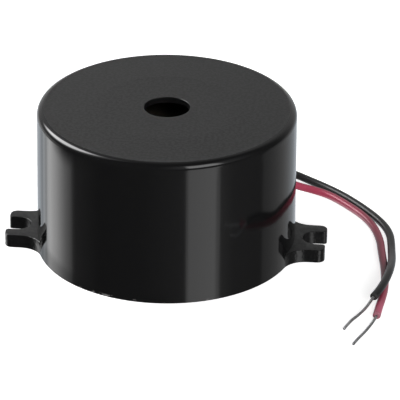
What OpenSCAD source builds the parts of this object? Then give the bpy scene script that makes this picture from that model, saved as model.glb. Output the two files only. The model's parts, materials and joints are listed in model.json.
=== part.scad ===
// Piezo buzzer: a round moulded case with a sound hole and two forked ears, closed from
// below by a glued cover, with a self-driven diaphragm inside and two flying leads.
// Millimetres, +Z up, origin at the centre of the base, ears along X, leads to the rear.

/* [Case] */
// Outside diameter at the base
case_d = 42; // [36:0.5:48]
// Overall height
case_h = 24.5; // [20:0.5:30]
// Draft of the side wall in degrees
case_draft = 0.2; // [0:0.05:0.5]
// Radius of the rounded top rim
rim_r = 1.25; // [0.4:0.05:1.5]
// Thickness of the side wall at the base
wall_t = 1.6; // [1.4:0.1:2]
// Thickness of the top
top_t = 1; // [0.8:0.1:1.6]
// Diameter of the sound hole
sound_hole_d = 7.4; // [5:0.1:10]

/* [Ears] */
// Slot centre beyond the case wall
slot_reach = 3.4; // [3:0.1:6]
// Width of the screw slot
slot_w = 4.2; // [3.2:0.1:4.5]
// Ear tip beyond the slot centre
ear_lip = 1.7; // [1.2:0.1:3]
// Width of the ear across both prongs
ear_w = 9; // [8:0.1:12]
// Thickness of the ear
ear_t = 2.2; // [1.6:0.1:4]
// Radius of the outer corners of the prongs
ear_corner_r = 1.2; // [0.3:0.1:1.5]
// Radius of the corners at the mouth of the slot
mouth_r = 0.5; // [0.1:0.05:0.8]
// Radius of the flare where the ear meets the wall
ear_root_r = 3.8; // [1:0.1:5]

/* [Cover] */
// Thickness of the cover
cover_t = 2; // [1.4:0.1:3]
// Depth of the cover inside the base plane
cover_recess = 0.4; // [0.2:0.1:1]
// Width of the ledge that the cover seats on
ledge_w = 0.5; // [0.3:0.05:0.8]
// Gap around the cover
cover_gap = 0.1; // [0.05:0.01:0.2]
// Size of the glue groove at the cover's lower edge
glue_groove = 0.6; // [0.3:0.1:1]

/* [Diaphragm] */
// Distance of the brass plate's edge from the side wall
plate_gap = 1.9; // [1.7:0.1:4]
// Thickness of the brass plate
plate_t = 0.3; // [0.15:0.05:0.5]
// Width of bare brass between the ceramic disc and the ring wall
brass_margin = 3.7; // [2.4:0.1:6]
// Thickness of the ceramic disc
disc_t = 0.25; // [0.15:0.05:0.5]
// Height of the air chamber under the top
chamber_h = 3.3; // [2:0.1:4]
// Thickness of the ring wall that carries the plate
ring_t = 1.6; // [1.4:0.1:2]
// Distance of the feedback joint from the disc's edge
feedback_inset = 2.5; // [1.5:0.1:4]
// Distance of the main electrode joint from the centre
electrode_joint_r = 5; // [2:0.1:7]
// Width of the plate's edge that rests on the ring wall
ring_seat = 1.3; // [0.8:0.1:1.4]
// Size of the sealant bead around the plate
bead_w = 0.6; // [0.4:0.1:0.8]

/* [Board] */
// Gap between the circuit board's edge and the side wall
board_edge_gap = 1.4; // [0.5:0.1:2.5]
// Thickness of the circuit board
board_t = 1.6; // [1:0.1:2]
// Height of the board above the cover
board_gap = 2.8; // [2.4:0.1:4]
// Diameter of the board posts
post_d = 3.4; // [2.8:0.1:4]
// Diameter of the staked pin on each post
pin_d = 1.6; // [1.2:0.1:2]
// Diameter of the staked head on each pin
head_d = 3; // [2.4:0.1:3.6]
// Height of the staked head
head_h = 0.8; // [0.5:0.1:1.2]
// Distance of the posts from the board's edge
post_inset = 2.5; // [2:0.1:3]

/* [Board parts] */
// Diameter of the component legs
leg_d = 0.5; // [0.4:0.05:0.7]
// Radial gap between a leg and its hole
leg_gap = 0.2; // [0.1:0.05:0.3]
// Distance between the two legs of a resistor or diode
leg_pitch = 10; // [9:0.5:11]
// Diameter of a resistor body
resistor_d = 2.3; // [1.6:0.1:2.6]
// Length of a resistor body
resistor_l = 6.2; // [5:0.1:7]
// Diameter of a resistor body between its end caps
resistor_waist_d = 1.95; // [1.4:0.05:2.2]
// Length of a resistor's end cap
resistor_cap_l = 1.5; // [1:0.1:2]
// Diameter of the diode body
diode_d = 2.6; // [2:0.1:3]
// Length of the diode body
diode_l = 5; // [4:0.1:6]
// Diameter of the transistor body
transistor_d = 4.6; // [4:0.1:5]
// Height of the transistor body
transistor_h = 4.6; // [4:0.1:5.4]
// Distance of the transistor's flat face from its centre
transistor_flat = 1.4; // [1:0.1:1.8]
// Distance between neighbouring transistor legs
transistor_pitch = 1.8; // [1.5:0.1:2]
// Height of the transistor body above the board
transistor_lift = 2; // [1:0.1:3]
// Diameter of the coil's flanges
coil_d = 9; // [8:0.1:10]
// Headroom between the coil and the ceramic disc
coil_headroom = 3.65; // [1.5:0.05:7]
// Thickness of the coil's flanges
flange_t = 1.2; // [0.8:0.1:1.6]
// Diameter of the coil's core
core_d = 4; // [3:0.1:5]
// Depth of the winding inside the flanges' edge
winding_inset = 0.4; // [0.2:0.1:0.8]
// Gap around the winding
winding_gap = 0.05; // [0.03:0.01:0.1]

/* [Wires] */
// Diameter of a lead over its insulation
lead_d = 1.3; // [1:0.05:1.5]
// Diameter of a lead's bare conductor
conductor_d = 0.46; // [0.3:0.02:0.6]
// Gap around a lead in its notch
lead_gap = 0.06; // [0.05:0.01:0.15]
// Length of bare conductor inside, from the insulation to the board hole
inner_strip = 3.4; // [3:0.1:5]
// Diameter of the fine wires to the diaphragm
wire_d = 0.5; // [0.3:0.05:0.6]
// Height of a solder joint
solder_h = 0.9; // [0.6:0.05:1.1]
// Diameter of a solder joint on its pad
solder_d = 1.8; // [1.4:0.1:2]

/* [Hidden] */
$fn = 96;
over = 1; // overshoot of every cut
tube_sides = 8;
wire_rings = 9;

// Case and cover
case_r = case_d / 2;
inner_r = case_r - wall_t;
seat_r = inner_r + ledge_w;
seat_z = cover_recess + cover_t;
cover_r = seat_r - cover_gap;
rim_z = case_h - rim_r;
rim_x = case_r - rim_z * tan(case_draft) - rim_r / cos(case_draft);
slot_x = case_r + slot_reach;
ear_x = slot_x + ear_lip;
flare_y = ear_w / 2 + ear_root_r;
flare_x = sqrt(pow(case_r + ear_root_r, 2) - pow(flare_y, 2));

// Diaphragm, hung from the top on the ring wall
plate_r = inner_r - plate_gap;
ceiling_z = case_h - top_t;
plate_z = ceiling_z - chamber_h;
disc_z = plate_z - plate_t;
disc_low_z = disc_z - disc_t;
ring_in_r = plate_r - ring_seat;
ring_out_r = ring_in_r + ring_t;
disc_r = ring_in_r - brass_margin;

// Circuit board on its posts
board_z = seat_z + board_gap;
board_top = board_z + board_t;
board_r = inner_r - board_edge_gap;
post_r = board_r - post_inset;
posts = [for (a = [0, 120, 240]) polar(post_r, a)];
hole_d = leg_d + 2 * leg_gap;
pin_hole_d = pin_d + 2 * leg_gap;
coil_h = disc_low_z - coil_headroom - board_top;
drum_h = coil_h - 2 * flange_t;

// Places of the parts on the board
coil_at = [-8, 0];
transistor_at = [6, 5];
diode_at = [4, -1.4];
bias_at = [5, -4.8];
base_at = [5, -8];
discharge_at = [2, -11.2];
coil_leg_r = (core_d + coil_d) / 4; // midway between the core and the flange's edge
coil_legs = [for (a = [0, 120, 240]) coil_at + polar(coil_leg_r, a)];
transistor_legs = [for (i = [-1, 0, 1]) transistor_at + [i * transistor_pitch, 0]];

// Fine wires: the hole each starts from and the joint it ends at
plate_wire_from = [-2.5, 10.5];
electrode_wire_from = [0.5, 7.5];
feedback_wire_from = [-6.5, 7.5];
plate_joint = polar((disc_r + ring_in_r) / 2, 95);
electrode_joint = polar(electrode_joint_r, 72);
feedback_joint = polar(disc_r - feedback_inset, 120);

// Routes of the leads from inside the wall to the end of the insulation, then of the bare ends
red_route = [
    [9.6, 12.8, 3.4], [12, 16, 3.4], [13.5, 18, 3.4], [15.3, 19.5, 3], [17.6, 20.2, 2.1],
    [20.2, 20.1, 1.25], [22.65, 19.75, 0.85], [24.95, 18.75, 0.68], [26.95, 17.05, 0.66],
    [28.85, 14.95, 0.66], [30.65, 12.75, 0.66], [32.15, 10.45, 0.66], [33.35, 7.95, 0.66],
    [34.2, 5.25, 0.66], [34.8, 2.45, 0.66], [35.15, -0.35, 0.66], [35.5, -3.15, 0.66], [35.85, -5.85, 0.66],
    [36.1, -8.65, 0.66], [36.25, -11.35, 0.66], [36.25, -14.05, 0.66], [36.05, -16.75, 0.66],
    [35.75, -19.65, 0.66], [35.5, -22.55, 0.66]
];
red_tip_route = [
    [35.5, -22.55, 0.66], [35, -24.4, 0.5], [34.1, -26.9, 0.35], [33.1, -29.2, 0.25], [32.3, -31.4, 0.25]
];
black_route = [
    [6, 14.4, 3.4], [7.5, 18, 3.4], [8.5, 20.4, 3.4], [10, 22.6, 3.2], [12.2, 24.1, 2.8],
    [14.8, 24.75, 2.3], [17.4, 24.6, 1.8], [19.9, 23.85, 1.3], [22.3, 22.75, 0.9], [24.6, 21.3, 0.7],
    [26.8, 19.45, 0.66], [28.85, 17.35, 0.66], [30.75, 15.1, 0.66], [32.45, 12.85, 0.66],
    [34.05, 10.45, 0.66], [35.4, 7.85, 0.66], [36.25, 5.05, 0.66], [36.6, 2.25, 0.66], [36.8, -0.55, 0.73],
    [37, -3.75, 1.04], [37, -7.15, 1.55], [36.8, -10.35, 1.94], [36.3, -13.6, 2.05], [35.55, -16.5, 1.98],
    [34.75, -18.45, 1.75]
];
black_tip_route = [
    [34.75, -18.45, 1.75], [34.25, -19.5, 1.32], [33.6, -20.7, 0.86], [32.7, -22.05, 0.46],
    [31.65, -23.75, 0.27], [30.9, -25.75, 0.25], [30.6, -26.7, 0.25]
];
routes = [red_route, black_route];

// Colours
black_plastic = [0.1, 0.1, 0.105];
solder_grey = [0.72, 0.73, 0.74];
tin_grey = [0.6, 0.61, 0.62];
brass_gold = [0.78, 0.6, 0.27];
copper = [0.72, 0.4, 0.2];

function polar(r, a) = r * [cos(a), sin(a)];
// Direction of a lead where it leaves the wall, and its height there
function lead_angle(route) = atan2(route[0].y, route[0].x);
function lead_z(route) = route[0].z;
// Board hole of a lead: on its radial line, further in by the bare stretch
function lead_hole(route) =
    polar(norm([route[0].x, route[0].y]) - inner_strip, lead_angle(route));
function leg_pair(at) = [at - [leg_pitch / 2, 0], at + [leg_pitch / 2, 0]];

leg_holes = concat(
    coil_legs, transistor_legs,
    leg_pair(diode_at), leg_pair(bias_at), leg_pair(base_at), leg_pair(discharge_at),
    [plate_wire_from, electrode_wire_from, feedback_wire_from]
);

function unit(v) = v / norm(v);
// Direction of a route at point i, with an optional set direction for its first point
function heading(p, i, first) =
    i == 0 && first != undef ? first : unit(p[min(i + 1, len(p) - 1)] - p[max(i - 1, 0)]);
// Ring of points around c, square to t, turned by the reference direction
function ring_points(c, t, r, ref) =
    let (u = unit(cross(t, ref)), v = cross(t, u))
    [for (k = [0:tube_sides - 1]) let (a = (k + 0.5) * 360 / tube_sides) c + r * (cos(a) * u + sin(a) * v)];
// Point at t on a curve that leaves a and reaches b along +Z
function rise(a, b, t) =
    let (h = [0, 0, (b.z - a.z) / 2], s = 1 - t)
    s * s * s * a + 3 * s * s * t * (a + h) + 3 * s * t * t * (b - h) + t * t * t * b;

// Round tube swept along a route
module tube(p, d, ref = [0, 0, 1], first = undef) {
    n = tube_sides;
    last = len(p) - 1;
    end = last * n;
    points = [for (i = [0:last]) each ring_points(p[i], heading(p, i, first), d / 2, ref)];
    sides = [
        for (i = [0:last - 1], k = [0:n - 1])
            let (a = i * n + k, b = i * n + (k + 1) % n)
            each [[a, b, b + n], [a, b + n, a + n]]
    ];
    near = [for (k = [1:n - 2]) [0, k + 1, k]];
    far = [for (k = [1:n - 2]) [end, end + k, end + k + 1]];
    polyhedron(points, concat(near, sides, far));
}

// Corner of a square edge that a radius takes away, at the origin, edges along -X and -Y
module corner_waste(r) {
    difference() {
        translate([-r, -r]) square(r + over);
        translate([-r, -r]) circle(r);
    }
}

// Plan of the ear on the +X side, running in under the wall
module ear_plan() {
    difference() {
        union() {
            translate([0, -ear_w / 2]) square([ear_x, ear_w]);
            for (s = [-1, 1]) mirror([0, s < 0 ? 1 : 0]) flare_plan();
        }
        translate([slot_x, 0]) circle(d = slot_w);
        translate([slot_x, -slot_w / 2]) square([ear_lip + over, slot_w]);
        for (s = [-1, 1]) mirror([0, s < 0 ? 1 : 0]) {
            translate([ear_x, ear_w / 2]) corner_waste(ear_corner_r);
            translate([ear_x, slot_w / 2]) mirror([0, 1]) corner_waste(mouth_r);
        }
    }
}

// Web between the ear's side and the wall, hollowed by the root radius
module flare_plan() {
    touch = [flare_x, flare_y] * case_r / (case_r + ear_root_r);
    difference() {
        polygon([[0, ear_w / 2], [flare_x, ear_w / 2], [flare_x, flare_y], touch]);
        translate([flare_x, flare_y]) circle(ear_root_r);
    }
}

// Half section of the case's outside, with the drafted wall and the rounded rim
module case_section() {
    polygon([
        [0, 0], [case_r, 0],
        [rim_x + rim_r * cos(case_draft), rim_z + rim_r * sin(case_draft)],
        [rim_x, rim_z], [rim_x, case_h], [0, case_h]
    ]);
    translate([rim_x, rim_z]) circle(rim_r);
}

// Radial slot through the wall under each lead: a round top at the lead's height, open below
module lead_slots(gap, low, from_r, to_r) {
    for (route = routes)
        rotate([0, 0, lead_angle(route)]) {
            w = lead_d + 2 * gap;
            translate([from_r, 0, lead_z(route)]) rotate([0, 90, 0]) cylinder(d = w, h = to_r - from_r);
            translate([from_r, -w / 2, low]) cube([to_r - from_r, w, lead_z(route) - low]);
        }
}

module case() {
    color(black_plastic) {
        difference() {
            union() {
                rotate_extrude() case_section();
                for (a = [0, 180]) rotate([0, 0, a]) linear_extrude(ear_t) ear_plan();
            }
            translate([0, 0, -over]) cylinder(r = inner_r, h = ceiling_z + over);
            translate([0, 0, -over]) cylinder(r = seat_r, h = seat_z + over);
            cylinder(d = sound_hole_d, h = case_h + over);
            lead_slots(lead_gap, -over, inner_r - over, case_r + over);
        }
        // Ring wall that carries the diaphragm, moulded with the top
        translate([0, 0, plate_z])
            difference() {
                cylinder(r = ring_out_r, h = chamber_h);
                translate([0, 0, -over]) cylinder(r = ring_in_r, h = chamber_h + 2 * over);
            }
    }
}

// Upright tongues of the cover that close the lead notches from below
module cover_tongues() {
    for (route = routes)
        rotate([0, 0, lead_angle(route)])
            translate([cover_r - glue_groove - over, -lead_d / 2, cover_recess])
                cube([
                    case_r - cover_gap - cover_r + glue_groove + over, lead_d,
                    lead_z(route) - lead_d / 2 - lead_gap - cover_recess
                ]);
}

module board_post(at) {
    translate([at.x, at.y, seat_z]) cylinder(d = post_d, h = board_gap);
    translate([at.x, at.y, board_z]) cylinder(d = pin_d, h = board_t);
    translate([at.x, at.y, board_top]) cylinder(d1 = head_d, d2 = pin_d, h = head_h);
}

module base_cover() {
    color(black_plastic) {
        rotate_extrude()
            polygon([
                [0, cover_recess], [cover_r - glue_groove, cover_recess],
                [cover_r, cover_recess + glue_groove], [cover_r, seat_z], [0, seat_z]
            ]);
        cover_tongues();
        for (at = posts) board_post(at);
    }
}

module cover_glue() {
    color([0.16, 0.15, 0.14])
        difference() {
            rotate_extrude()
                polygon([
                    [cover_r - glue_groove, cover_recess], [seat_r, cover_recess],
                    [seat_r, cover_recess + glue_groove], [cover_r, cover_recess + glue_groove]
                ]);
            lead_slots(lead_gap, -over, seat_r - glue_groove - over, case_r + over);
        }
}

module diaphragm_plate() {
    color(brass_gold) translate([0, 0, disc_z]) cylinder(r = plate_r, h = plate_t);
}

module piezo_disc() {
    color([0.86, 0.85, 0.8]) translate([0, 0, disc_low_z]) cylinder(r = disc_r, h = disc_t);
}

// Sealant around the plate's edge and up the outside of the ring wall
module diaphragm_bead() {
    color([0.85, 0.85, 0.83])
        rotate_extrude()
            polygon([
                [plate_r, disc_z], [ring_out_r + bead_w / 2, disc_z], [ring_out_r + bead_w, plate_z],
                [ring_out_r + bead_w / 2, plate_z + bead_w], [ring_out_r, plate_z + bead_w],
                [ring_out_r, plate_z], [plate_r, plate_z]
            ]);
}

// Solder joint that hangs below z at a place
module solder_joint(at, z) {
    translate([at.x, at.y, z - solder_h]) cylinder(d1 = solder_d / 2, d2 = solder_d, h = solder_h);
}

module diaphragm_solder() {
    color(solder_grey) {
        solder_joint(plate_joint, disc_z);
        solder_joint(electrode_joint, disc_low_z);
        solder_joint(feedback_joint, disc_low_z);
    }
}

module circuit_board() {
    color([0.55, 0.42, 0.22])
        difference() {
            translate([0, 0, board_z]) cylinder(r = board_r, h = board_t);
            for (at = leg_holes)
                translate([at.x, at.y, board_z - over]) cylinder(d = hole_d, h = board_t + 2 * over);
            for (route = routes)
                translate(concat(lead_hole(route), board_z - over))
                    cylinder(d = conductor_d + 2 * leg_gap, h = board_t + 2 * over);
            for (at = posts)
                translate([at.x, at.y, board_z - over]) cylinder(d = pin_hole_d, h = board_t + 2 * over);
        }
}

module board_solder() {
    color(solder_grey) for (at = leg_holes) solder_joint(at, board_z);
}

// Straight leg from the board's underside up to height z
module leg(at, z) {
    translate([at.x, at.y, board_z]) cylinder(d = leg_d, h = z - board_z);
}

// Two bent legs and the axis of a part that lies on the board
module axial_legs(at, z) {
    for (p = leg_pair(at)) {
        leg(p, z);
        translate([p.x, p.y, z]) sphere(d = leg_d);
    }
    translate([at.x - leg_pitch / 2, at.y, z]) rotate([0, 90, 0]) cylinder(d = leg_d, h = leg_pitch);
}

// Resistor body with its two end caps a little fatter than the middle
module resistor(at) {
    z = board_top + resistor_d / 2;
    axial_legs(at, z);
    translate([at.x - resistor_l / 2, at.y, z]) rotate([0, 90, 0]) {
        cylinder(d = resistor_waist_d, h = resistor_l);
        for (x = [0, resistor_l - resistor_cap_l])
            translate([0, 0, x]) cylinder(d = resistor_d, h = resistor_cap_l);
    }
}

module bias_resistor() {
    color([0.8, 0.68, 0.5]) resistor(bias_at);
}

module base_resistor() {
    color([0.8, 0.68, 0.5]) resistor(base_at);
}

module discharge_resistor() {
    color([0.8, 0.68, 0.5]) resistor(discharge_at);
}

module polarity_diode() {
    z = board_top + diode_d / 2;
    color(black_plastic) {
        axial_legs(diode_at, z);
        translate([diode_at.x - diode_l / 2, diode_at.y, z])
            rotate([0, 90, 0]) cylinder(d = diode_d, h = diode_l);
    }
}

// Half-round transistor body on three straight legs
module transistor() {
    z = board_top + transistor_lift;
    w = 2 * transistor_d;
    color(black_plastic) {
        for (p = transistor_legs) leg(p, z);
        translate([transistor_at.x, transistor_at.y, z])
            difference() {
                cylinder(d = transistor_d, h = transistor_h);
                translate([-w / 2, transistor_flat, -over]) cube([w, w, transistor_h + 2 * over]);
            }
    }
}

// Ferrite drum: a core between two flanges, on three pins
module coil_core() {
    color([0.2, 0.2, 0.21]) {
        for (p = coil_legs) leg(p, board_top + flange_t / 2);
        translate([coil_at.x, coil_at.y, board_top]) {
            cylinder(d = coil_d, h = flange_t);
            cylinder(d = core_d, h = coil_h);
            translate([0, 0, coil_h - flange_t]) cylinder(d = coil_d, h = flange_t);
        }
    }
}

module coil_winding() {
    color(copper)
        translate([coil_at.x, coil_at.y, board_top + flange_t + winding_gap])
            difference() {
                cylinder(d = coil_d - 2 * winding_inset, h = drum_h - 2 * winding_gap);
                translate([0, 0, -over]) cylinder(d = core_d + 2 * winding_gap, h = drum_h + 2 * over);
            }
}

// Fine wire from a board hole up to a joint that hangs below z_end, straight at both ends
module fine_wire(from, to, z_end) {
    a = concat(from, board_top);
    b = concat(to, z_end - solder_h - wire_d);
    curve = [for (i = [0:wire_rings - 1]) rise(a, b, i / (wire_rings - 1))];
    tube(concat([concat(from, board_z)], curve, [b + [0, 0, wire_d]]), wire_d, [1, 0, 0]);
}

module plate_wire() {
    color([0.12, 0.12, 0.12]) fine_wire(plate_wire_from, plate_joint, disc_z);
}

module electrode_wire() {
    color([0.7, 0.1, 0.12]) fine_wire(electrode_wire_from, electrode_joint, disc_low_z);
}

module feedback_wire() {
    color([0.15, 0.25, 0.6]) fine_wire(feedback_wire_from, feedback_joint, disc_low_z);
}

// Bare inner end of each lead, bent up into the board and soldered there
module lead_solder() {
    color(solder_grey)
        for (route = routes) {
            hole = lead_hole(route);
            z = lead_z(route);
            translate(concat(hole, z)) {
                sphere(d = conductor_d);
                cylinder(d = conductor_d, h = board_top - z);
                rotate([0, 90, lead_angle(route)]) cylinder(d = conductor_d, h = inner_strip);
            }
            solder_joint(hole, board_z);
        }
}

// Direction of a lead where its insulation ends
function end_heading(route) = heading(route, len(route) - 1, undef);

module red_lead() {
    color([0.75, 0.2, 0.28]) tube(red_route, lead_d);
}

module red_lead_tip() {
    color(tin_grey) tube(red_tip_route, conductor_d, first = end_heading(red_route));
}

module black_lead() {
    color([0.14, 0.14, 0.14]) tube(black_route, lead_d);
}

module black_lead_tip() {
    color(tin_grey) tube(black_tip_route, conductor_d, first = end_heading(black_route));
}

case();
base_cover();
cover_glue();
diaphragm_plate();
piezo_disc();
diaphragm_bead();
diaphragm_solder();
circuit_board();
board_solder();
transistor();
polarity_diode();
bias_resistor();
base_resistor();
discharge_resistor();
coil_core();
coil_winding();
plate_wire();
electrode_wire();
feedback_wire();
lead_solder();
red_lead();
red_lead_tip();
black_lead();
black_lead_tip();
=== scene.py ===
import json
import math

import bpy
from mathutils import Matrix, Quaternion, Vector, noise


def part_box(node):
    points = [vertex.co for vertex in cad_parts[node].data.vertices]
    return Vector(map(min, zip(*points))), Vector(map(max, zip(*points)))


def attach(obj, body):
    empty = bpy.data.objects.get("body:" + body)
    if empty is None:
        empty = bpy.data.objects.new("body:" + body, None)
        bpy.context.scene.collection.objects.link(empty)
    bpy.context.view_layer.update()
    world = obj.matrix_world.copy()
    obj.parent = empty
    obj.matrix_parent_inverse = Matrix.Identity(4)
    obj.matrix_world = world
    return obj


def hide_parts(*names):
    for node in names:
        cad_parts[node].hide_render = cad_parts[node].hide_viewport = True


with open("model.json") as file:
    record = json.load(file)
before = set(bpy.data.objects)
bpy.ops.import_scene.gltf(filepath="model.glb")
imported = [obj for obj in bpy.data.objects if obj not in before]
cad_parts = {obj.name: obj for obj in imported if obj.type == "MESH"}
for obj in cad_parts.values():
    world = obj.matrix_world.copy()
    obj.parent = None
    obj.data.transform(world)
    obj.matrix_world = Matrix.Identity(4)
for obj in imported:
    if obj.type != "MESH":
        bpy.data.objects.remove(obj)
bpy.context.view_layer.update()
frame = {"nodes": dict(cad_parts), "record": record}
nodes = frame["nodes"]
scene = bpy.context.scene
scene.view_settings.view_transform = "Standard"
mm = 0.001
radian = 180 / math.pi                           # in degrees
print("frame loaded:", len(nodes), "pieces")


def metres(*lengths):                            # from mm
    return [length * mm for length in lengths]


def addObject(name, data):
    made = bpy.data.objects.new(name, data)
    scene.collection.objects.link(made)
    return made


def wayTo(azimuth, elevation):                   # direction, degrees to the right of the front and up
    a, e = math.radians(azimuth), math.radians(elevation)
    return Vector((math.sin(a) * math.cos(e), -math.cos(a) * math.cos(e), math.sin(e)))


# Camera at the photograph's viewing angle
cameraSetup = {
    "target": (0, 0, 12.25),         # middle of the case, mm
    "distance": 630,                 # mm
    "azimuth": 5.6,                  # degrees, to the right of the front
    "elevation": 26.7,
    "roll": 0.285,
    "lens": 350,                     # mm
    "sensor": 36,                    # mm
    "clip": (0.01, 20),              # metres
    "targetPixel": (166.7, 175.1),   # where the target shows
    "picture": 400,                  # pixels a side
}


def addCamera(s):
    back = wayTo(s["azimuth"], s["elevation"])
    data = bpy.data.cameras.new("camera")
    data.lens, data.sensor_width = s["lens"], s["sensor"]
    data.shift_x = 0.5 - s["targetPixel"][0] / s["picture"]
    data.shift_y = s["targetPixel"][1] / s["picture"] - 0.5
    data.clip_start, data.clip_end = s["clip"]
    camera = addObject("camera", data)
    camera.location = (Vector(s["target"]) + back * s["distance"]) * mm
    camera.rotation_mode = "QUATERNION"
    roll = Quaternion((0, 0, 1), math.radians(s["roll"]))
    camera.rotation_quaternion = (-back).to_track_quat("-Z", "Y") @ roll
    scene.camera = camera


addCamera(cameraSetup)
print("camera set")


# Shader sums: a wrapped socket takes part in Python expressions
class Socket:
    def __init__(self, tree, socket=None):
        self.tree, self.socket = tree, socket

    def node(self, kind, settings=None, inputs=None, out=0):
        made = self.tree.nodes.new(kind)
        for name, value in (settings or {}).items():
            if name == "stops":
                self.setStops(made.color_ramp, value)
            else:
                setattr(made, name, value)
        for name, value in (inputs or {}).items():
            if isinstance(value, Socket):
                self.tree.links.new(value.socket, made.inputs[name])
            else:
                made.inputs[name].default_value = value
        return Socket(self.tree, made.outputs[out] if made.outputs else None)

    def setStops(self, ramp, stops):
        while len(ramp.elements) < len(stops):
            ramp.elements.new(1)
        for element, (place, grey) in zip(ramp.elements, stops):
            element.position = place
            element.color = (grey, grey, grey, 1)

    def math(self, operation, a, b=0.0):
        return self.node("ShaderNodeMath", {"operation": operation}, {0: a, 1: b})

    def __add__(self, other):
        return self.math("ADD", self, other)

    def __radd__(self, other):
        return self.math("ADD", other, self)

    def __sub__(self, other):
        return self.math("SUBTRACT", self, other)

    def __rsub__(self, other):
        return self.math("SUBTRACT", other, self)

    def __mul__(self, other):
        return self.math("MULTIPLY", self, other)

    def __rmul__(self, other):
        return self.math("MULTIPLY", other, self)

    def __truediv__(self, other):
        return self.math("DIVIDE", self, other)

    def __rtruediv__(self, other):
        return self.math("DIVIDE", other, self)

    def __pow__(self, other):
        return self.math("POWER", self, other)

    def step(self, low, high):                   # 0 below low, 1 above high, smooth between
        return self.node("ShaderNodeMapRange", {"interpolation_type": "SMOOTHSTEP"},
                         {"Value": self, "From Min": low, "From Max": high})

    def axes(self):                              # x, y and z of a vector
        parts = self.node("ShaderNodeSeparateXYZ", None, {0: self}).socket.node.outputs
        return [Socket(self.tree, part) for part in parts]

    def bearing(self, side, ahead):              # degrees from ahead towards the side
        return self.math("ARCTAN2", side, ahead) * radian

    def blend(self, a, b):                       # colour a where this is 0, b where it is 1
        return self.node("ShaderNodeMix", {"data_type": "RGBA"}, {0: self, 6: a, 7: b}, 2)

    def place(self):                             # the piece's own coordinates, in metres
        return self.node("ShaderNodeTexCoord", out="Object")

    def stretch(self, factors):                  # coordinates scaled along each axis
        return self.node("ShaderNodeVectorMath", {"operation": "MULTIPLY"}, {0: self, 1: factors})

    def speckle(self, size, detail, where=None):        # noise with spots of about that size, in mm
        return self.node("ShaderNodeTexNoise", None,
                         {"Vector": where or self.place(), "Scale": 1 / (size * mm), "Detail": detail})

    def bump(self, height, depth, strength):            # depth in mm
        return self.node("ShaderNodeBump", None,
                         {"Height": height, "Distance": depth * mm, "Strength": strength})


def newMaterial(name, constants):
    material = bpy.data.materials.new(name)
    material.use_nodes = True
    tree = material.node_tree
    shader = next(n for n in tree.nodes if n.type == "BSDF_PRINCIPLED")
    for socket, value in constants.items():
        shader.inputs[socket].default_value = value
    return material, Socket(tree), shader


def feed(sheet, shader, **links):                # baseColor=... goes to "Base Color"
    names = {"baseColor": "Base Color", "roughness": "Roughness", "normal": "Normal"}
    for name, value in links.items():
        sheet.tree.links.new(value.socket, shader.inputs[names[name]])


def dress(piece, material):
    piece.data.materials.clear()
    piece.data.materials.append(material)


def addMesh(name, verts, faces):
    mesh = bpy.data.meshes.new(name)
    mesh.from_pydata(verts, [], faces)
    mesh.validate()
    return addObject(name, mesh)


def smoothShade(mesh, sharp):                    # edges sharper than that many degrees stay crisp
    mesh.polygons.foreach_set("use_smooth", [True] * len(mesh.polygons))
    mesh.set_sharp_from_angle(angle=math.radians(sharp))


# Leads: routes repeat the solids', in mm, from the board inside to the end of the insulation
leadSettings = {
    "diameter": 1.3,
    "sides": 28,
    "step": 0.45,        # between rings
    "sharp": 40,         # degrees
    "endRound": 0.16,    # rounded lip of the cut insulation
    "bore": 0.42,        # where the strand leaves the cut end
    "boreDepth": 0.02,   # hollow of the cut face
    "uneven": 0.006,     # share of the radius
    "unevenPace": 0.35,  # per mm
    "wallRadius": 21,    # the exit is on this radius
    "red": [
        (9.6, 12.8, 3.4), (12, 16, 3.4), (13.5, 18, 3.4), (15.3, 19.5, 3), (17.6, 20.2, 2.1),
        (20.2, 20.1, 1.25), (22.65, 19.75, 0.85), (24.95, 18.75, 0.68), (26.95, 17.05, 0.66),
        (28.85, 14.95, 0.66), (30.65, 12.75, 0.66), (32.15, 10.45, 0.66), (33.35, 7.95, 0.66),
        (34.2, 5.25, 0.66), (34.8, 2.45, 0.66), (35.15, -0.35, 0.66), (35.5, -3.15, 0.66),
        (35.85, -5.85, 0.66), (36.1, -8.65, 0.66), (36.25, -11.35, 0.66), (36.25, -14.05, 0.66),
        (36.05, -16.75, 0.66), (35.75, -19.65, 0.66), (35.5, -22.55, 0.66),
    ],
    "black": [
        (6, 14.4, 3.4), (7.5, 18, 3.4), (8.5, 20.4, 3.4), (10, 22.6, 3.2), (12.2, 24.1, 2.8),
        (14.8, 24.75, 2.3), (17.4, 24.6, 1.8), (19.9, 23.85, 1.3), (22.3, 22.75, 0.9), (24.6, 21.3, 0.7),
        (26.8, 19.45, 0.66), (28.85, 17.35, 0.66), (30.75, 15.1, 0.66), (32.45, 12.85, 0.66),
        (34.05, 10.45, 0.66), (35.4, 7.85, 0.66), (36.25, 5.05, 0.66), (36.6, 2.25, 0.66),
        (36.8, -0.55, 0.73), (37, -3.75, 1.04), (37, -7.15, 1.55), (36.8, -10.35, 1.94),
        (36.3, -13.6, 2.05), (35.55, -16.5, 1.98), (34.75, -18.45, 1.75),
    ],
}
tipSettings = {
    "diameter": 0.48,
    "sides": 42,
    "step": 0.08,
    "sharp": 40,
    "endRound": 0.2,
    "strands": 6,        # around the middle one
    "lay": 4.2,          # length of one turn
    "groove": 0.05,      # share of the radius
    "tinPace": 0.6,      # per mm, how fast the tin thickens and thins
    "tinDip": 0.03,      # share of the radius
    "red": [
        (35.5, -22.55, 0.66), (35, -24.4, 0.5), (34.1, -26.9, 0.35), (33.1, -29.2, 0.25), (32.3, -31.4, 0.25),
    ],
    "black": [
        (34.75, -18.45, 1.75), (34.25, -19.5, 1.32), (33.6, -20.7, 0.86), (32.7, -22.05, 0.46),
        (31.65, -23.75, 0.27), (30.9, -25.75, 0.25), (30.6, -26.7, 0.25),
    ],
}
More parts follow.
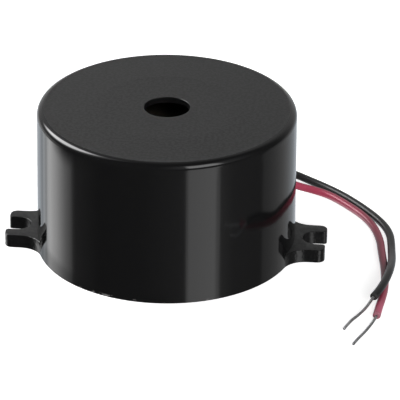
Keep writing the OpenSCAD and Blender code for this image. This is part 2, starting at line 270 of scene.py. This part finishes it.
quarterTurn = [k * math.pi / 10 for k in range(6)]      # angles of a quarter circle, for small roundings


def smoothCurve(points, steps=14):               # a curve through every point
    points = [Vector(p) for p in points]
    ends = [2 * points[0] - points[1], *points, 2 * points[-1] - points[-2]]
    curve = []
    for a, b, c, d in zip(ends, ends[1:], ends[2:], ends[3:]):
        for k in range(steps):
            t = k / steps
            bend = (2 * a - 5 * b + 4 * c - d) * t * t + (3 * b - a - 3 * c + d) * t * t * t
            curve.append(b + 0.5 * ((c - a) * t + bend))
    return curve + [points[-1]]


def curveLength(curve):
    return sum((b - a).length for a, b in zip(curve, curve[1:]))


def walk(curve, distances):                      # (point, heading) at each distance from the start
    found, k, start = [], 0, 0.0
    for d in distances:
        while k < len(curve) - 2 and start + (curve[k + 1] - curve[k]).length < d:
            start += (curve[k + 1] - curve[k]).length
            k += 1
        edge = curve[k + 1] - curve[k]
        before = curve[k] - curve[k - 1] if k else edge
        share = (d - start) / edge.length
        heading = before.normalized().lerp(edge.normalized(), share)
        found.append((curve[k] + edge * share, heading.normalized()))
    return found


def bridge(rings, sides):                        # faces between rings of points that follow each other
    return [
        (i * sides + k, i * sides + (k + 1) % sides, (i + 1) * sides + (k + 1) % sides, (i + 1) * sides + k)
        for i in range(rings - 1) for k in range(sides)
    ]


def caps(count, sides):                          # faces that close the first and the last ring
    return [tuple(reversed(range(sides))), tuple(range(count - sides, count))]


def sweep(name, route, settings, radiusAt):      # tube along a route, with a rounded far end
    curve = smoothCurve(route)
    length, lip, radius = curveLength(curve), settings["endRound"], settings["diameter"] / 2
    count = int((length - lip) / settings["step"])
    distances = [k * (length - lip) / count for k in range(count + 1)]
    scales = [1.0] * len(distances)
    for angle in quarterTurn[1:]:                # the lip turns in
        distances.append(length - lip + lip * math.sin(angle))
        scales.append(1 - lip / radius * (1 - math.cos(angle)))
    if "bore" in settings:                       # cut face, in to the strand
        distances.append(length - settings["boreDepth"])
        scales.append(settings["bore"] / 2 / radius)
    verts, sides, side = [], settings["sides"], None
    for (point, heading), d, scale in zip(walk(curve, distances), distances, scales):
        side = heading.orthogonal() if side is None else side - heading * side.dot(heading)
        side.normalize()
        other = heading.cross(side)
        for k in range(sides):
            turn = 2 * math.pi * k / sides
            r = radiusAt(d, turn) * scale
            verts.append((point + (side * math.cos(turn) + other * math.sin(turn)) * r) * mm)
    piece = addMesh(name, verts, bridge(len(distances), sides) + caps(len(verts), sides))
    smoothShade(piece.data, settings["sharp"])
    return piece, [p * mm for p in curve], length * mm


def addLead(colour):
    s, t = leadSettings, tipSettings
    row = len(colour)                            # each lead has its own row of noise

    def insulation(along, turn):                 # drawn a little uneven, as extruded vinyl is
        swell = noise.noise((along * s["unevenPace"], row, 0))
        return s["diameter"] / 2 * (1 - s["uneven"] + s["uneven"] * swell)

    def strand(along, turn):                     # six strands twisted round one, drowned in tin
        wave = math.cos(t["strands"] * (turn - 2 * math.pi * along / t["lay"]))
        tin = 0.5 + 0.5 * noise.noise((along * t["tinPace"], 3 * row, 0))
        return t["diameter"] / 2 * (1 - t["groove"] * (1 - tin) * (1 - wave) - t["tinDip"] * tin)

    lead, path, length = sweep(colour + "LeadVinyl", s[colour], s, insulation)
    tip, _, _ = sweep(colour + "LeadStrand", t[colour], t, strand)
    for piece, node in ((lead, colour + "_lead"), (tip, colour + "_lead_tip")):
        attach(piece, "root")
        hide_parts(node)
    print(colour, "lead:", round(length / mm, 1), "mm")
    return lead, tip


redLead, redTip = addLead("red")
blackLead, blackTip = addLead("black")


# Case: one moulding, turned body with two forked ears, in mm
caseSettings = {
    "radius": 21,
    "draft": 0.2,            # degrees
    "rim": 1.25,             # rounded top edge
    "wall": 1.6,
    "top": 1,
    "hole": 7.4,
    "holeEdge": 0.1,
    "ledge": 0.5,            # the cover seats here
    "seat": 2.4,             # height of the ledge
    "ring": (16.2, 17.8),    # wall that carries the diaphragm, inside and outside radius
    "slotReach": 3.4,        # slot centre beyond the wall
    "slot": 4.2,
    "earWidth": 9,
    "earHeight": 2.2,
    "earCorner": 1.2,
    "earMouth": 0.5,
    "earRoot": 3.8,
    "earEdge": 0.16,         # softened upper edge
    "earDepth": 0.6,         # how far the ear runs into the wall
    "mitre": 0.5,            # limit at sharp corners of the softened edge
    "notchGap": 0.06,        # around a lead
    "notchReach": 1,         # how far the cutter passes each face
    "sharp": 35,             # degrees
    "steps": {"body": 288, "rim": 16, "edge": 5, "corner": 10, "slot": 18, "notch": 16},
    "near": {"top": 0.005, "wall": 0.01, "upright": 0.05},      # what counts as lying on the outside
}


def arc(centre, radius, start, end, steps):      # points on a circle, angles in degrees
    angles = [math.radians(start + (end - start) * k / steps) for k in range(steps + 1)]
    return [(centre[0] + radius * math.cos(a), centre[1] + radius * math.sin(a)) for a in angles]


def caseProfile(s, height, ringLow):             # closed half section, radius and height
    draft, steps = math.radians(s["draft"]), s["steps"]
    rimZ = height - s["rim"]
    rimX = s["radius"] - rimZ * math.tan(draft) - s["rim"] / math.cos(draft)
    ceiling, inner = height - s["top"], s["radius"] - s["wall"]
    seat, hole, edge = inner + s["ledge"], s["hole"] / 2, s["holeEdge"]
    ringIn, ringOut = s["ring"]
    outside = arc((hole + edge, height - edge), edge, 180, 90, steps["edge"])
    outside += arc((rimX, rimZ), s["rim"], 90, s["draft"], steps["rim"])
    outside += [(s["radius"], 0)]
    inside = [
        (seat, 0), (seat, s["seat"]), (inner, s["seat"]), (inner, ceiling),
        (ringOut, ceiling), (ringOut, ringLow), (ringIn, ringLow), (ringIn, ceiling), (hole, ceiling),
    ]
    return outside + inside, rimX, rimZ


def turned(name, profile, turns):                # body of revolution of a closed section
    verts, faces, n = [], [], len(profile)
    for k in range(turns):
        a = 2 * math.pi * k / turns
        verts += [(r * math.cos(a) * mm, r * math.sin(a) * mm, z * mm) for r, z in profile]
    for k in range(turns):
        for i in range(n):
            a, b, j = k * n, (k + 1) % turns * n, (i + 1) % n
            faces.append((a + i, b + i, b + j, a + j))
    return addMesh(name, verts, faces)


def earOutline(s, tip):                          # plan of the ear on the right, anticlockwise
    half, root, steps = s["earWidth"] / 2, s["earRoot"], s["steps"]
    mouth, corner = s["earMouth"], s["earCorner"]
    slotX, slotR = s["radius"] + s["slotReach"], s["slot"] / 2
    flareY = half + root
    flareX = math.sqrt((s["radius"] + root) ** 2 - flareY ** 2)
    lean = math.degrees(math.atan2(flareY, flareX))
    deep = s["radius"] - s["earDepth"]
    upper = arc((slotX, 0), slotR, 180, 90, steps["slot"])
    upper += arc((tip - mouth, slotR + mouth), mouth, -90, 0, steps["edge"])
    upper += arc((tip - corner, half - corner), corner, 0, 90, steps["corner"])
    upper += arc((flareX, flareY), root, 270, 180 + lean, steps["slot"])
    lower = [(x, -y) for x, y in reversed(upper)]
    return upper + arc((0, 0), deep, lean, -lean, steps["corner"]) + lower[:-1]


def earBlock(name, s, outline):                  # ear with a softened upper edge
    n, height, edge = len(outline), s["earHeight"], s["earEdge"]
    inward = []
    for i in range(n):
        a, b, c = (Vector(outline[(i + k) % n]) for k in (-1, 0, 1))
        left = [Vector((-d.y, d.x)).normalized() for d in (b - a, c - b)]
        middle = (left[0] + left[1]).normalized()
        inward.append(middle / max(middle.dot(left[0]), s["mitre"]))
    rings = [(0, 0)]
    rings += [(edge * (1 - math.cos(a)), height - edge + edge * math.sin(a)) for a in quarterTurn]
    verts = [
        ((x + w.x * shift) * mm, (y + w.y * shift) * mm, z * mm)
        for shift, z in rings for (x, y), w in zip(outline, inward)
    ]
    return addMesh(name, verts, caps(len(verts), n) + bridge(len(rings), n))


def notchCutter(name, s, route):                 # radial slot with a round top, open below
    start, past = Vector(route[0]), s["notchReach"]
    half = leadSettings["diameter"] / 2 + s["notchGap"]
    section = arc((0, start.z), half, 0, 180, s["steps"]["notch"]) + [(-half, -past), (half, -past)]
    way = Vector((start.x, start.y, 0)).normalized()
    across = Vector((way.y, -way.x, 0))
    verts = [
        (way * r + across * u + Vector((0, 0, z))) * mm
        for r in (s["radius"] - s["wall"] - past, s["radius"] + past) for u, z in section
    ]
    n = len(section)
    faces = [tuple(range(n)), tuple(reversed(range(n, 2 * n)))]
    faces += [(k, k + n, (k + 1) % n + n, (k + 1) % n) for k in range(n)]
    return addMesh(name, verts, faces)


def cut(piece, other, operation):                # joins or cuts another mesh, which is then removed
    step = piece.modifiers.new(operation, "BOOLEAN")
    step.object, step.operation, step.solver = other, operation, "EXACT"
    ready = piece.evaluated_get(bpy.context.evaluated_depsgraph_get())
    made = bpy.data.meshes.new_from_object(ready)
    piece.modifiers.clear()
    piece.data = made
    bpy.data.objects.remove(other)


# True normals on the turned outside, so that it mirrors cleanly
def polishNormals(mesh, s, height, rimX, rimZ):
    smoothShade(mesh, s["sharp"])
    normals = [n.vector.copy() for n in mesh.corner_normals]
    draft, near = math.radians(s["draft"]), s["near"]
    edge, hole = s["holeEdge"], s["hole"] / 2
    for face in mesh.polygons:
        middle = face.center / mm
        far = math.hypot(middle.x, middle.y)
        wallHere = s["radius"] - middle.z * math.tan(draft)
        for corner in face.loop_indices:
            p = mesh.vertices[mesh.loops[corner].vertex_index].co / mm
            r = math.hypot(p.x, p.y)
            if middle.z > height - near["top"]:
                lean = (0, 1)
            elif middle.z > rimZ and far > rimX:
                lean = ((r - rimX) / s["rim"], (p.z - rimZ) / s["rim"])
            elif middle.z > height - edge and far < hole + edge:
                lean = ((r - hole - edge) / edge, (p.z - height + edge) / edge)
            elif abs(far - wallHere) < near["wall"] and abs(face.normal.z) < near["upright"]:
                lean = (math.cos(draft), math.sin(draft))
            else:
                continue
            normals[corner] = Vector((p.x / r * lean[0], p.y / r * lean[0], lean[1])).normalized()
    mesh.normals_split_custom_set(normals)


def addCase(s):
    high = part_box("case")[1] / mm
    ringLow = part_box("diaphragm_plate")[1].z / mm
    profile, rimX, rimZ = caseProfile(s, high.z, ringLow)
    case = turned("caseMoulding", profile, s["steps"]["body"])
    outline = earOutline(s, high.x)
    for name, side in (("rightEar", 1), ("leftEar", -1)):
        cut(case, earBlock(name, s, [(side * x, side * y) for x, y in outline]), "UNION")
    for colour in ("red", "black"):
        cut(case, notchCutter(colour + "Notch", s, leadSettings[colour]), "DIFFERENCE")
    polishNormals(case.data, s, high.z, rimX, rimZ)
    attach(case, "root")
    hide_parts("case")
    print("case:", len(case.data.polygons), "faces")
    return case, high.z


case, caseHeight = addCase(caseSettings)


# Finishes. A speckle is given by the size of its spots in mm and its detail, a bump by its depth in mm
# and its strength. A pair of limits is the stretch over which a tone or zone comes or goes.
plasticSettings = {
    "colour": (0.0045, 0.0045, 0.0047, 1),
    "paler": (0.00675, 0.00675, 0.00705, 1),
    "palerShare": 0.25,
    "scuff": (0.2, 0.197, 0.193, 1),
    "satin": [(0.0045, 0.0045, 0.0045, 1), (0.027, 0.027, 0.027, 1)],   # two tones of the matt top
    "satinLimits": (0.36, 0.64),
    "cloud": (6, 3),
    "grain": (0.16, 2),
    "mottle": (0.5, 3),
    "streak": (1.3, 2),                  # drawn marks down the wall
    "streakStretch": (1, 1, 0.02),
    "scuffSpots": (0.5, 2),
    "ior": 1.5,
    "wallRoughness": 0.07,
    "topRoughness": 0.55,
    "earRoughness": 0.36,
    "earSideRoughness": 0.07,
    "slotRoughness": 0.15,
    "boreRoughness": 0.2,
    "scuffRoughness": 0.5,
    "cloudRoughness": 0.03,
    "satinRoughness": (0.08, 0.38),      # by grain and by mottle
    "bump": (0.012, 0.6),
    "earGrain": 0.5,                     # depths as shares of the top's grain
    "streakDepth": 1.2,
    "earSideDepth": 12,
    "crown": (11.5, 19.2, 6),            # mm, where the top falls away very slightly, and how much
    "scuffAngle": -24.5,                 # degrees round from the front, where the lower edge is rubbed
    "scuffReach": (3, 6.5),              # degrees to each side
    "scuffLimits": (0.66, 0.76),
    "rubbedMore": 0.2,
    # zones in mm
    "boreZone": (3.77, 3.82),            # from the axis
    "wallZone": (20.2, 20.5),            # from the axis
    "wallFade": (4, 1.3),                # below the top
    "topZone": (0.02, 0.001),            # below the top
    "earZone": (0.008, 0.03),            # beyond the wall
    "earTopZone": (0.03, 0.002),         # below the ear's top
    "slotZone": (2.2, 2.4),              # from the middle of the ear
    "lowEdgeZone": (0.2, 0.55),          # above the table
}


def below(level, zone):                          # heights in metres, from mm below a level
    return metres(*(level - depth for depth in zone))


def casePlastic(s, body):
    material, sheet, shader = newMaterial("blackMoulding", {"IOR": s["ior"]})
    place = sheet.place()
    x, y, z = place.axes()
    far = (x * x + y * y) ** 0.5
    wallFar = body["radius"] * mm - z * math.tan(math.radians(body["draft"]))
    bore = 1 - far.step(*metres(*s["boreZone"]))         # wall and edge of the sound hole
    top = (1 - bore) * z.step(*below(caseHeight, s["topZone"]))
    ear = (far - wallFar).step(*metres(*s["earZone"]))
    earTop = ear * z.step(*below(body["earHeight"], s["earTopZone"]))
    slot = 1 - sheet.math("ABSOLUTE", y).step(*metres(*s["slotZone"]))
    wall = (1 - ear) * far.step(*metres(*s["wallZone"]))
    wall = wall * (1 - z.step(*below(caseHeight, s["wallFade"])))
    lowEdge = (1 - ear) * (1 - z.step(*metres(*s["lowEdgeZone"])))

    cloud = sheet.speckle(*s["cloud"])
    grain = sheet.speckle(*s["grain"])
    mottle = sheet.speckle(*s["mottle"])
    streak = sheet.speckle(*s["streak"], place.stretch(s["streakStretch"]))
    bearing = sheet.bearing(x, -1 * y)
    rubbed = 1 - sheet.math("ABSOLUTE", bearing - s["scuffAngle"]).step(*s["scuffReach"])
    scuff = lowEdge * (sheet.speckle(*s["scuffSpots"]) + s["rubbedMore"] * rubbed).step(*s["scuffLimits"])

    byGrain, byMottle = s["satinRoughness"]
    satin = byGrain * grain + byMottle * (mottle - 0.5)
    rough = s["wallRoughness"] + s["cloudRoughness"] * cloud + bore * s["boreRoughness"]
    rough = rough + (ear - earTop) * (s["earSideRoughness"] + slot * s["slotRoughness"])
    rough = rough + earTop * (s["earRoughness"] + satin) + top * (s["topRoughness"] + satin)
    rough = rough + s["scuffRoughness"] * scuff

    colour = (cloud * s["palerShare"]).blend(s["colour"], s["paler"])
    colour = scuff.blend(colour, s["scuff"])
    colour = top.blend(colour, mottle.step(*s["satinLimits"]).blend(*s["satin"]))

    flat, edge, fall = s["crown"]
    crown = sheet.math("MINIMUM", sheet.math("MAXIMUM", far, flat * mm), edge * mm)
    height = (top + s["earGrain"] * earTop) * grain + s["streakDepth"] * wall * (streak - 0.5)
    height = height + s["earSideDepth"] * (ear - earTop) * (mottle - 0.5) - crown * (fall / mm)
    feed(sheet, shader, baseColor=colour, roughness=rough, normal=sheet.bump(height, *s["bump"]))
    return material


vinylSettings = {
    "red": {
        "colour": (0.47, 0.068, 0.122, 1),
        "dark": (0.41, 0.056, 0.1, 1),
        # pale: painted light, the lit look of the end of the insulation
        "pale": (0.62, 0.115, 0.2, 1),
        "cutFace": (0.36, 0.13, 0.17, 1),
        "ior": 1.55,
        "roughness": 0.26,
    },
    "black": {
        "colour": (0.017, 0.017, 0.0175, 1),
        "dark": (0.012, 0.012, 0.0125, 1),
        # pale: painted light, the lit look of the end of the insulation
        "pale": (0.018, 0.018, 0.0185, 1),
        "cutFace": (0.035, 0.035, 0.035, 1),
        "ior": 1.45,
        "roughness": 0.3,
    },
    "cloud": (3.5, 3),
    "cloudLimits": (0.3, 0.75),
    "fine": (0.25, 2),
    "fineRoughness": 0.1,
    "bump": (0.01, 0.5),
    "paintedLitEndZone": (1.5, 6),        # mm from the stripped end, over which painted light makes the insulation paler
    "cutZone": (0.6, 0.85),
}


def vinyl(s, name):                              # insulation, with painted light that makes it paler at the stripped end
    tone, end = s[name], leadSettings[name][-1]
    material, sheet, shader = newMaterial(name + "Vinyl", {"IOR": tone["ior"]})
    x, y, z = ((at - e * mm) ** 2 for at, e in zip(sheet.place().axes(), end))
    fromEnd = (x + y + z) ** 0.5
    # painted light: the insulation is made paler near the stripped end
    pale = 1 - fromEnd.step(*metres(*s["paintedLitEndZone"]))
    cutEnd = 1 - fromEnd.step(*metres(*s["cutZone"]))
    fine = sheet.speckle(*s["fine"])
    colour = sheet.speckle(*s["cloud"]).step(*s["cloudLimits"]).blend(tone["dark"], tone["colour"])
    feed(sheet, shader,
         baseColor=cutEnd.blend(pale.blend(colour, tone["pale"]), tone["cutFace"]),
         roughness=tone["roughness"] + s["fineRoughness"] * fine,
         normal=sheet.bump(fine, *s["bump"]))
    return material


mottledLimits = (0.3, 0.7)


# Two tones in clouds, with a least roughness and how much the clouds add
def mottled(name, tones, cloud, grain, roughness, bump, metal=0.0):
    material, sheet, shader = newMaterial(name, {"Metallic": metal})
    clouds = sheet.speckle(*cloud)
    feed(sheet, shader,
         baseColor=clouds.step(*mottledLimits).blend(*tones),
         roughness=roughness[0] + roughness[1] * clouds,
         normal=sheet.bump(sheet.speckle(*grain), *bump))
    return material


tinSettings = {
    "tones": [(0.4, 0.4, 0.41, 1), (0.63, 0.63, 0.64, 1)],
    "cloud": (0.8, 3),
    "grain": (0.12, 2),
    "roughness": (0.42, 0.2),
    "bump": (0.01, 0.5),
    "metal": 1.0,
}
dress(case, casePlastic(plasticSettings, caseSettings))
dress(redLead, vinyl(vinylSettings, "red"))
dress(blackLead, vinyl(vinylSettings, "black"))
tin = mottled("tinnedStrand", **tinSettings)
dress(redTip, tin)
dress(blackTip, tin)

# Inner pieces, by material slot: size of the clouds and depth of the grain in mm
innerFinishes = {
    "cover_plastic": {
        "name": "coverPlastic", "size": 3, "roughness": (0.42, 0.2), "depth": 0.01,
        "tones": [(0.012, 0.012, 0.013, 1), (0.017, 0.017, 0.018, 1)],
    },
    "epoxy": {
        "name": "epoxyBead", "size": 1.2, "roughness": (0.16, 0.15), "depth": 0.02,
        "tones": [(0.02, 0.018, 0.016, 1), (0.03, 0.027, 0.024, 1)],
    },
    "brass": {
        "name": "brassPlate", "size": 4, "roughness": (0.34, 0.2), "depth": 0.004, "metal": 1.0,
        "tones": [(0.42, 0.38, 0.29, 1), (0.5, 0.455, 0.36, 1)],
    },
    "ceramic": {
        "name": "silveredCeramic", "size": 2, "roughness": (0.45, 0.2), "depth": 0.006,
        "tones": [(0.62, 0.61, 0.57, 1), (0.74, 0.73, 0.69, 1)],
    },
    "sealant": {
        "name": "sealant", "size": 1.5, "roughness": (0.35, 0.2), "depth": 0.02,
        "tones": [(0.62, 0.62, 0.6, 1), (0.7, 0.7, 0.67, 1)],
    },
    "solder": {
        "name": "solder", "size": 0.6, "roughness": (0.25, 0.2), "depth": 0.01, "metal": 1.0,
        "tones": [(0.5, 0.5, 0.51, 1), (0.66, 0.66, 0.67, 1)],
    },
    "laminate": {
        "name": "boardLaminate", "size": 1.2, "roughness": (0.5, 0.15), "depth": 0.008,
        "tones": [(0.28, 0.16, 0.06, 1), (0.36, 0.22, 0.09, 1)],
    },
    "component_epoxy": {
        "name": "componentBlack", "size": 0.8, "roughness": (0.4, 0.2), "depth": 0.01,
        "tones": [(0.014, 0.014, 0.015, 1), (0.02, 0.02, 0.021, 1)],
    },
    "resistor_coat": {
        "name": "resistorCoat", "size": 1.5, "roughness": (0.35, 0.15), "depth": 0.008,
        "tones": [(0.56, 0.4, 0.22, 1), (0.64, 0.48, 0.28, 1)],
    },
    "ferrite": {
        "name": "ferrite", "size": 0.5, "roughness": (0.5, 0.2), "depth": 0.02,
        "tones": [(0.03, 0.03, 0.032, 1), (0.055, 0.055, 0.058, 1)],
    },
    "copper_wire": {
        "name": "enamelledCopper", "size": 0.5, "roughness": (0.25, 0.2), "depth": 0.03,
        "tones": [(0.45, 0.15, 0.05, 1), (0.58, 0.22, 0.08, 1)],
    },
    "wire_black": {
        "name": "fineWireBlack", "size": 1, "roughness": (0.4, 0.15), "depth": 0.004,
        "tones": [(0.014, 0.014, 0.014, 1), (0.022, 0.022, 0.022, 1)],
    },
    "wire_red": {
        "name": "fineWireRed", "size": 1, "roughness": (0.4, 0.15), "depth": 0.004,
        "tones": [(0.45, 0.03, 0.03, 1), (0.55, 0.05, 0.045, 1)],
    },
    "wire_blue": {
        "name": "fineWireBlue", "size": 1, "roughness": (0.4, 0.15), "depth": 0.004,
        "tones": [(0.02, 0.06, 0.32, 1), (0.03, 0.09, 0.42, 1)],
    },
}
innerDetail = {"cloud": 4, "grain": 3, "finer": 4, "strength": 0.6}     # the grain is that much finer


def innerFinish(s, d):
    cloud, grain = (s["size"], d["cloud"]), (s["size"] / d["finer"], d["grain"])
    bump = (s["depth"], d["strength"])
    return mottled(s["name"], s["tones"], cloud, grain, s["roughness"], bump, s.get("metal", 0.0))


innerMaterials = {slot: innerFinish(s, innerDetail) for slot, s in innerFinishes.items()}
slotOfNode = {part["node"]: part["material_slot"] for part in frame["record"]["subparts"]}
for name, node in nodes.items():
    if not node.hide_render:
        dress(node, innerMaterials[slotOfNode[name]])
print("finishes set")


# Studio: pale floor, soft lamps, and a light tent that only shows in reflections
floorSettings = {
    "size": 6.0,                     # metres
    "colour": (0.86, 0.86, 0.86, 1),
    "roughness": 0.9,
    "lift": 0.8,                     # own light that takes the floor to white
}
worldFill = 0.06                     # even light from all round
white, black = (1, 1, 1, 1), (0, 0, 0, 1)


def hideFromAllButGloss(piece):
    piece.visible_camera = piece.visible_diffuse = piece.visible_shadow = False
    piece.visible_transmission = piece.visible_volume_scatter = False


def bareMaterial(name):                          # material with nothing in it yet
    material = bpy.data.materials.new(name)
    material.use_nodes = True
    material.node_tree.nodes.clear()
    return material, Socket(material.node_tree)


def fromCamera(x, y):                            # to the right, and towards the camera
    turn = math.radians(cameraSetup["azimuth"])
    return x * math.cos(turn) + y * math.sin(turn), x * math.sin(turn) - y * math.cos(turn)


def addFloor(s):
    half = s["size"] / 2
    corners = [(-half, -half, 0), (half, -half, 0), (half, half, 0), (-half, half, 0)]
    floor = addMesh("floor", corners, [(0, 1, 2, 3)])
    floor.visible_glossy = False                 # the tent is what the gloss shows
    constants = {"Roughness": s["roughness"], "Base Color": s["colour"], "Emission Strength": s["lift"]}
    material, sheet, shader = newMaterial("paleFloor", constants)
    seen = sheet.node("ShaderNodeLightPath", out="Is Camera Ray")
    through = sheet.node("ShaderNodeLightPath", out="Is Transmission Ray")
    lit = (seen + through).blend(black, white)
    sheet.tree.links.new(lit.socket, shader.inputs["Emission Color"])
    underneath = sheet.node("ShaderNodeNewGeometry", out="Backfacing")     # open there, to show the underside
    clear = sheet.node("ShaderNodeBsdfTransparent")
    pale = Socket(sheet.tree, shader.outputs[0])
    shown = sheet.node("ShaderNodeMixShader", None, {0: underneath, 1: pale, 2: clear})
    out = next(n for n in sheet.tree.nodes if n.type == "OUTPUT_MATERIAL")
    sheet.tree.links.new(shown.socket, out.inputs["Surface"])
    dress(floor, material)


# Angles in degrees from the camera, to the right, and heights in degrees. A pair is the stretch over
# which light comes or goes.
tentSettings = {
    "radius": 0.55,                      # metres
    "mesh": (48, 24),                    # segments and rings
    "peak": 2.5,
    # angle and brightness round the lower half
    "lower": [
        (-180, 0.75), (-160, 0.73), (-153, 0.8), (-147.5, 0.78), (-144.5, 0.68), (-142, 0.82), (-139.5, 1.22),
        (-136.5, 1.18), (-133.5, 1.06), (-131.5, 1.24), (-129, 1.98), (-124, 2.45), (-112, 2.2), (-104, 1.5),
        (-93.5, 0.74), (-88, 0.15), (-60, 0.05), (-20, 0.06), (10, 0.14), (15.8, 0.18), (19, 1.35),
        (43, 1.55), (48, 0.28), (60, 0.14), (88, 0.1), (91, 0.1), (93, 0.22), (112, 0.32), (128, 0.43),
        (145, 0.57), (160, 0.7), (180, 0.75),
    ],
    "horizon": (-8, 0),                  # heights where the lower half goes over into the upper
    "front": 0.08,                       # brightness of the upper half
    "back": 0.45,
    "backAngles": (100, 150),
    "backFade": (42, 80),                # heights over which the back dims, and by what share
    "backLoss": 0.75,
    "lowBack": 0.3,                      # added low behind
    "lowBackAngles": (146, 170),
    "lowBackFade": (14, 26),
    "cool": (0.93, 1, 1.07, 1),          # tint of the lower half behind
    "coolAngles": (122, 150),
}
softboxSettings = {
    "angle": -113.9,
    "height": 38.5,
    "tilt": 37,
    "halfLength": 29.1,
    "halfWidth": 17,
    "taper": 0.22,                       # wider at the upper end
    "power": 9.2,
    "edge": (0.55, 1.15),                # in half lengths and half widths
    "halo": 1.0,                         # spill round the softbox
    "haloEdge": (0.8, 1.9),
    "haloStart": (-1.1, -0.3),           # none at the lower end
}
stripSettings = {"left": (16, 20), "right": (44, 52), "bottom": (16, 24), "top": (40, 56), "power": 3.3}
wingSettings = {"left": (-12, 20), "right": (44, 95), "bottom": (8, 22), "top": (44, 62), "power": 0.3}


def softbox(s, angle, height):                   # tilted oval with a spill of light
    slope, rise = math.cos(math.radians(s["tilt"])), math.sin(math.radians(s["tilt"]))
    aside, up = angle - s["angle"], height - s["height"]
    along = (aside * slope + up * rise) / s["halfLength"]
    across = (up * slope - aside * rise) / (s["halfWidth"] * (1 + s["taper"] * along))
    reach = (along * along + across * across) ** 0.5
    halo = s["halo"] * along.step(*s["haloStart"]) * (1 - reach.step(*s["haloEdge"]))
    return s["power"] * (1 - reach.step(*s["edge"])) + halo


def softPanel(s, angle, height):                 # upright panel with soft edges
    across = angle.step(*s["left"]) * (1 - angle.step(*s["right"]))
    return s["power"] * across * height.step(*s["bottom"]) * (1 - height.step(*s["top"]))


def addTent(s):
    segments, rings = s["mesh"]
    bpy.ops.mesh.primitive_uv_sphere_add(segments=segments, ring_count=rings, radius=s["radius"])
    tent = bpy.context.object
    tent.name = "tent"
    hideFromAllButGloss(tent)
    material, sheet = bareMaterial("tentCloth")
    x, y, z = sheet.place().axes()
    angle = sheet.bearing(*fromCamera(x, y))
    height = sheet.math("ARCSINE", z / s["radius"]) * radian
    stops = [((a + 180) / 360, v / s["peak"]) for a, v in s["lower"]]
    lower = sheet.node("ShaderNodeValToRGB", {"stops": stops}, {"Fac": (angle + 180) / 360}) * s["peak"]
    around = sheet.math("ABSOLUTE", angle)
    behind = around.step(*s["backAngles"]) * (1 - s["backLoss"] * height.step(*s["backFade"]))
    lowBehind = around.step(*s["lowBackAngles"]) * (1 - height.step(*s["lowBackFade"]))
    upper = s["front"] + (s["back"] - s["front"]) * behind + s["lowBack"] * lowBehind
    above = height.step(*s["horizon"])
    light = (1 - above) * lower + above * upper + softbox(softboxSettings, angle, height)
    light = light + softPanel(stripSettings, angle, height) + softPanel(wingSettings, angle, height)
    tint = ((1 - above) * around.step(*s["coolAngles"])).blend(white, s["cool"])
    colour = sheet.node("ShaderNodeMix", {"data_type": "RGBA", "blend_type": "MULTIPLY"},
                        {0: 1.0, 6: tint, 7: light}, 2)
    cloth = sheet.node("ShaderNodeEmission", None, {"Color": colour})
    sheet.node("ShaderNodeOutputMaterial", None, {"Surface": cloth})
    dress(tent, material)


# Dark table on the left, in reflections only. Lengths in mm, each share with the stretch over which it
# comes or goes.
cardSettings = {
    "left": 400,                         # size, from the middle of the case
    "near": 150,
    "far": 200,
    "sunk": 0.5,                         # below the floor
    "edge": (-64.5, -56.5),              # to the right, where the dark ends
    "wallShade": [(0.12, (21, 30)), (0.26, (23.2, 25.6))],      # dim floor at the wall, by distance
    "clear": (20.6, 21),                 # nothing under the case
    "grey": 0.06,
    "paler": [(0.6, (82, 114)), (0.3, (118, 150))],             # lighter towards the back, by angle
}


def addCard(s):
    right, toward = wayTo(cameraSetup["azimuth"] + 90, 0), wayTo(cameraSetup["azimuth"], 0)
    spots = [(0, s["near"]), (0, -s["far"]), (-s["left"], -s["far"]), (-s["left"], s["near"])]
    down = Vector((0, 0, s["sunk"]))
    card = addMesh("card", [(right * a + toward * b - down) * mm for a, b in spots], [(0, 1, 2, 3)])
    hideFromAllButGloss(card)
    material, sheet = bareMaterial("cardBlack")
    x, y, _ = sheet.place().axes()
    across, ahead = fromCamera(x, y)
    far = (x * x + y * y) ** 0.5
    solid = 1 - across.step(*metres(*s["edge"]))
    for share, zone in s["wallShade"]:
        solid = solid + share * (1 - far.step(*metres(*zone)))
    solid = solid * far.step(*metres(*s["clear"]))
    toLeft = sheet.bearing(-1 * across, ahead)
    grey = s["grey"]
    for share, angles in s["paler"]:
        grey = grey + share * toLeft.step(*angles)
    clear = sheet.node("ShaderNodeBsdfTransparent")
    dark = sheet.node("ShaderNodeEmission", None, {"Color": grey})
    shown = sheet.node("ShaderNodeMixShader", None, {0: solid, 1: clear, 2: dark})
    sheet.node("ShaderNodeOutputMaterial", None, {"Surface": shown})
    dress(card, material)


# Angle from the camera, to the right, and height in degrees, distance and size in metres, power in watts
lampSettings = {
    "softLamp": {"angle": -112, "height": 40, "distance": 0.6, "size": 0.36, "power": 2.5},
    "frontLamp": {"angle": 20, "height": 20, "distance": 0.6, "size": 0.26, "power": 2.9},
}


def addLamp(name, s):
    data = bpy.data.lights.new(name, "AREA")
    data.shape, data.size, data.energy = "DISK", s["size"], s["power"]
    lamp = addObject(name, data)
    way = wayTo(s["angle"] + cameraSetup["azimuth"], s["height"])
    lamp.location = way * s["distance"]
    lamp.rotation_mode = "QUATERNION"
    lamp.rotation_quaternion = way.to_track_quat("Z", "Y")
    lamp.visible_glossy = False


def addWorld(fill):
    world = bpy.data.worlds.new("studio")
    scene.world = world
    world.use_nodes = True
    sheet = Socket(world.node_tree)
    seen = sheet.node("ShaderNodeLightPath", out="Is Camera Ray")
    gloss = sheet.node("ShaderNodeLightPath", out="Is Glossy Ray")
    through = sheet.node("ShaderNodeLightPath", out="Is Transmission Ray")
    shown = sheet.math("MINIMUM", seen + gloss + through, 1.0)
    colour = shown.blend((fill, fill, fill, 1), white)
    background = next(n for n in world.node_tree.nodes if n.type == "BACKGROUND")
    world.node_tree.links.new(colour.socket, background.inputs["Color"])


addFloor(floorSettings)
addTent(tentSettings)
addCard(cardSettings)
addWorld(worldFill)
for name, lamp in lampSettings.items():
    addLamp(name, lamp)
print("studio set")
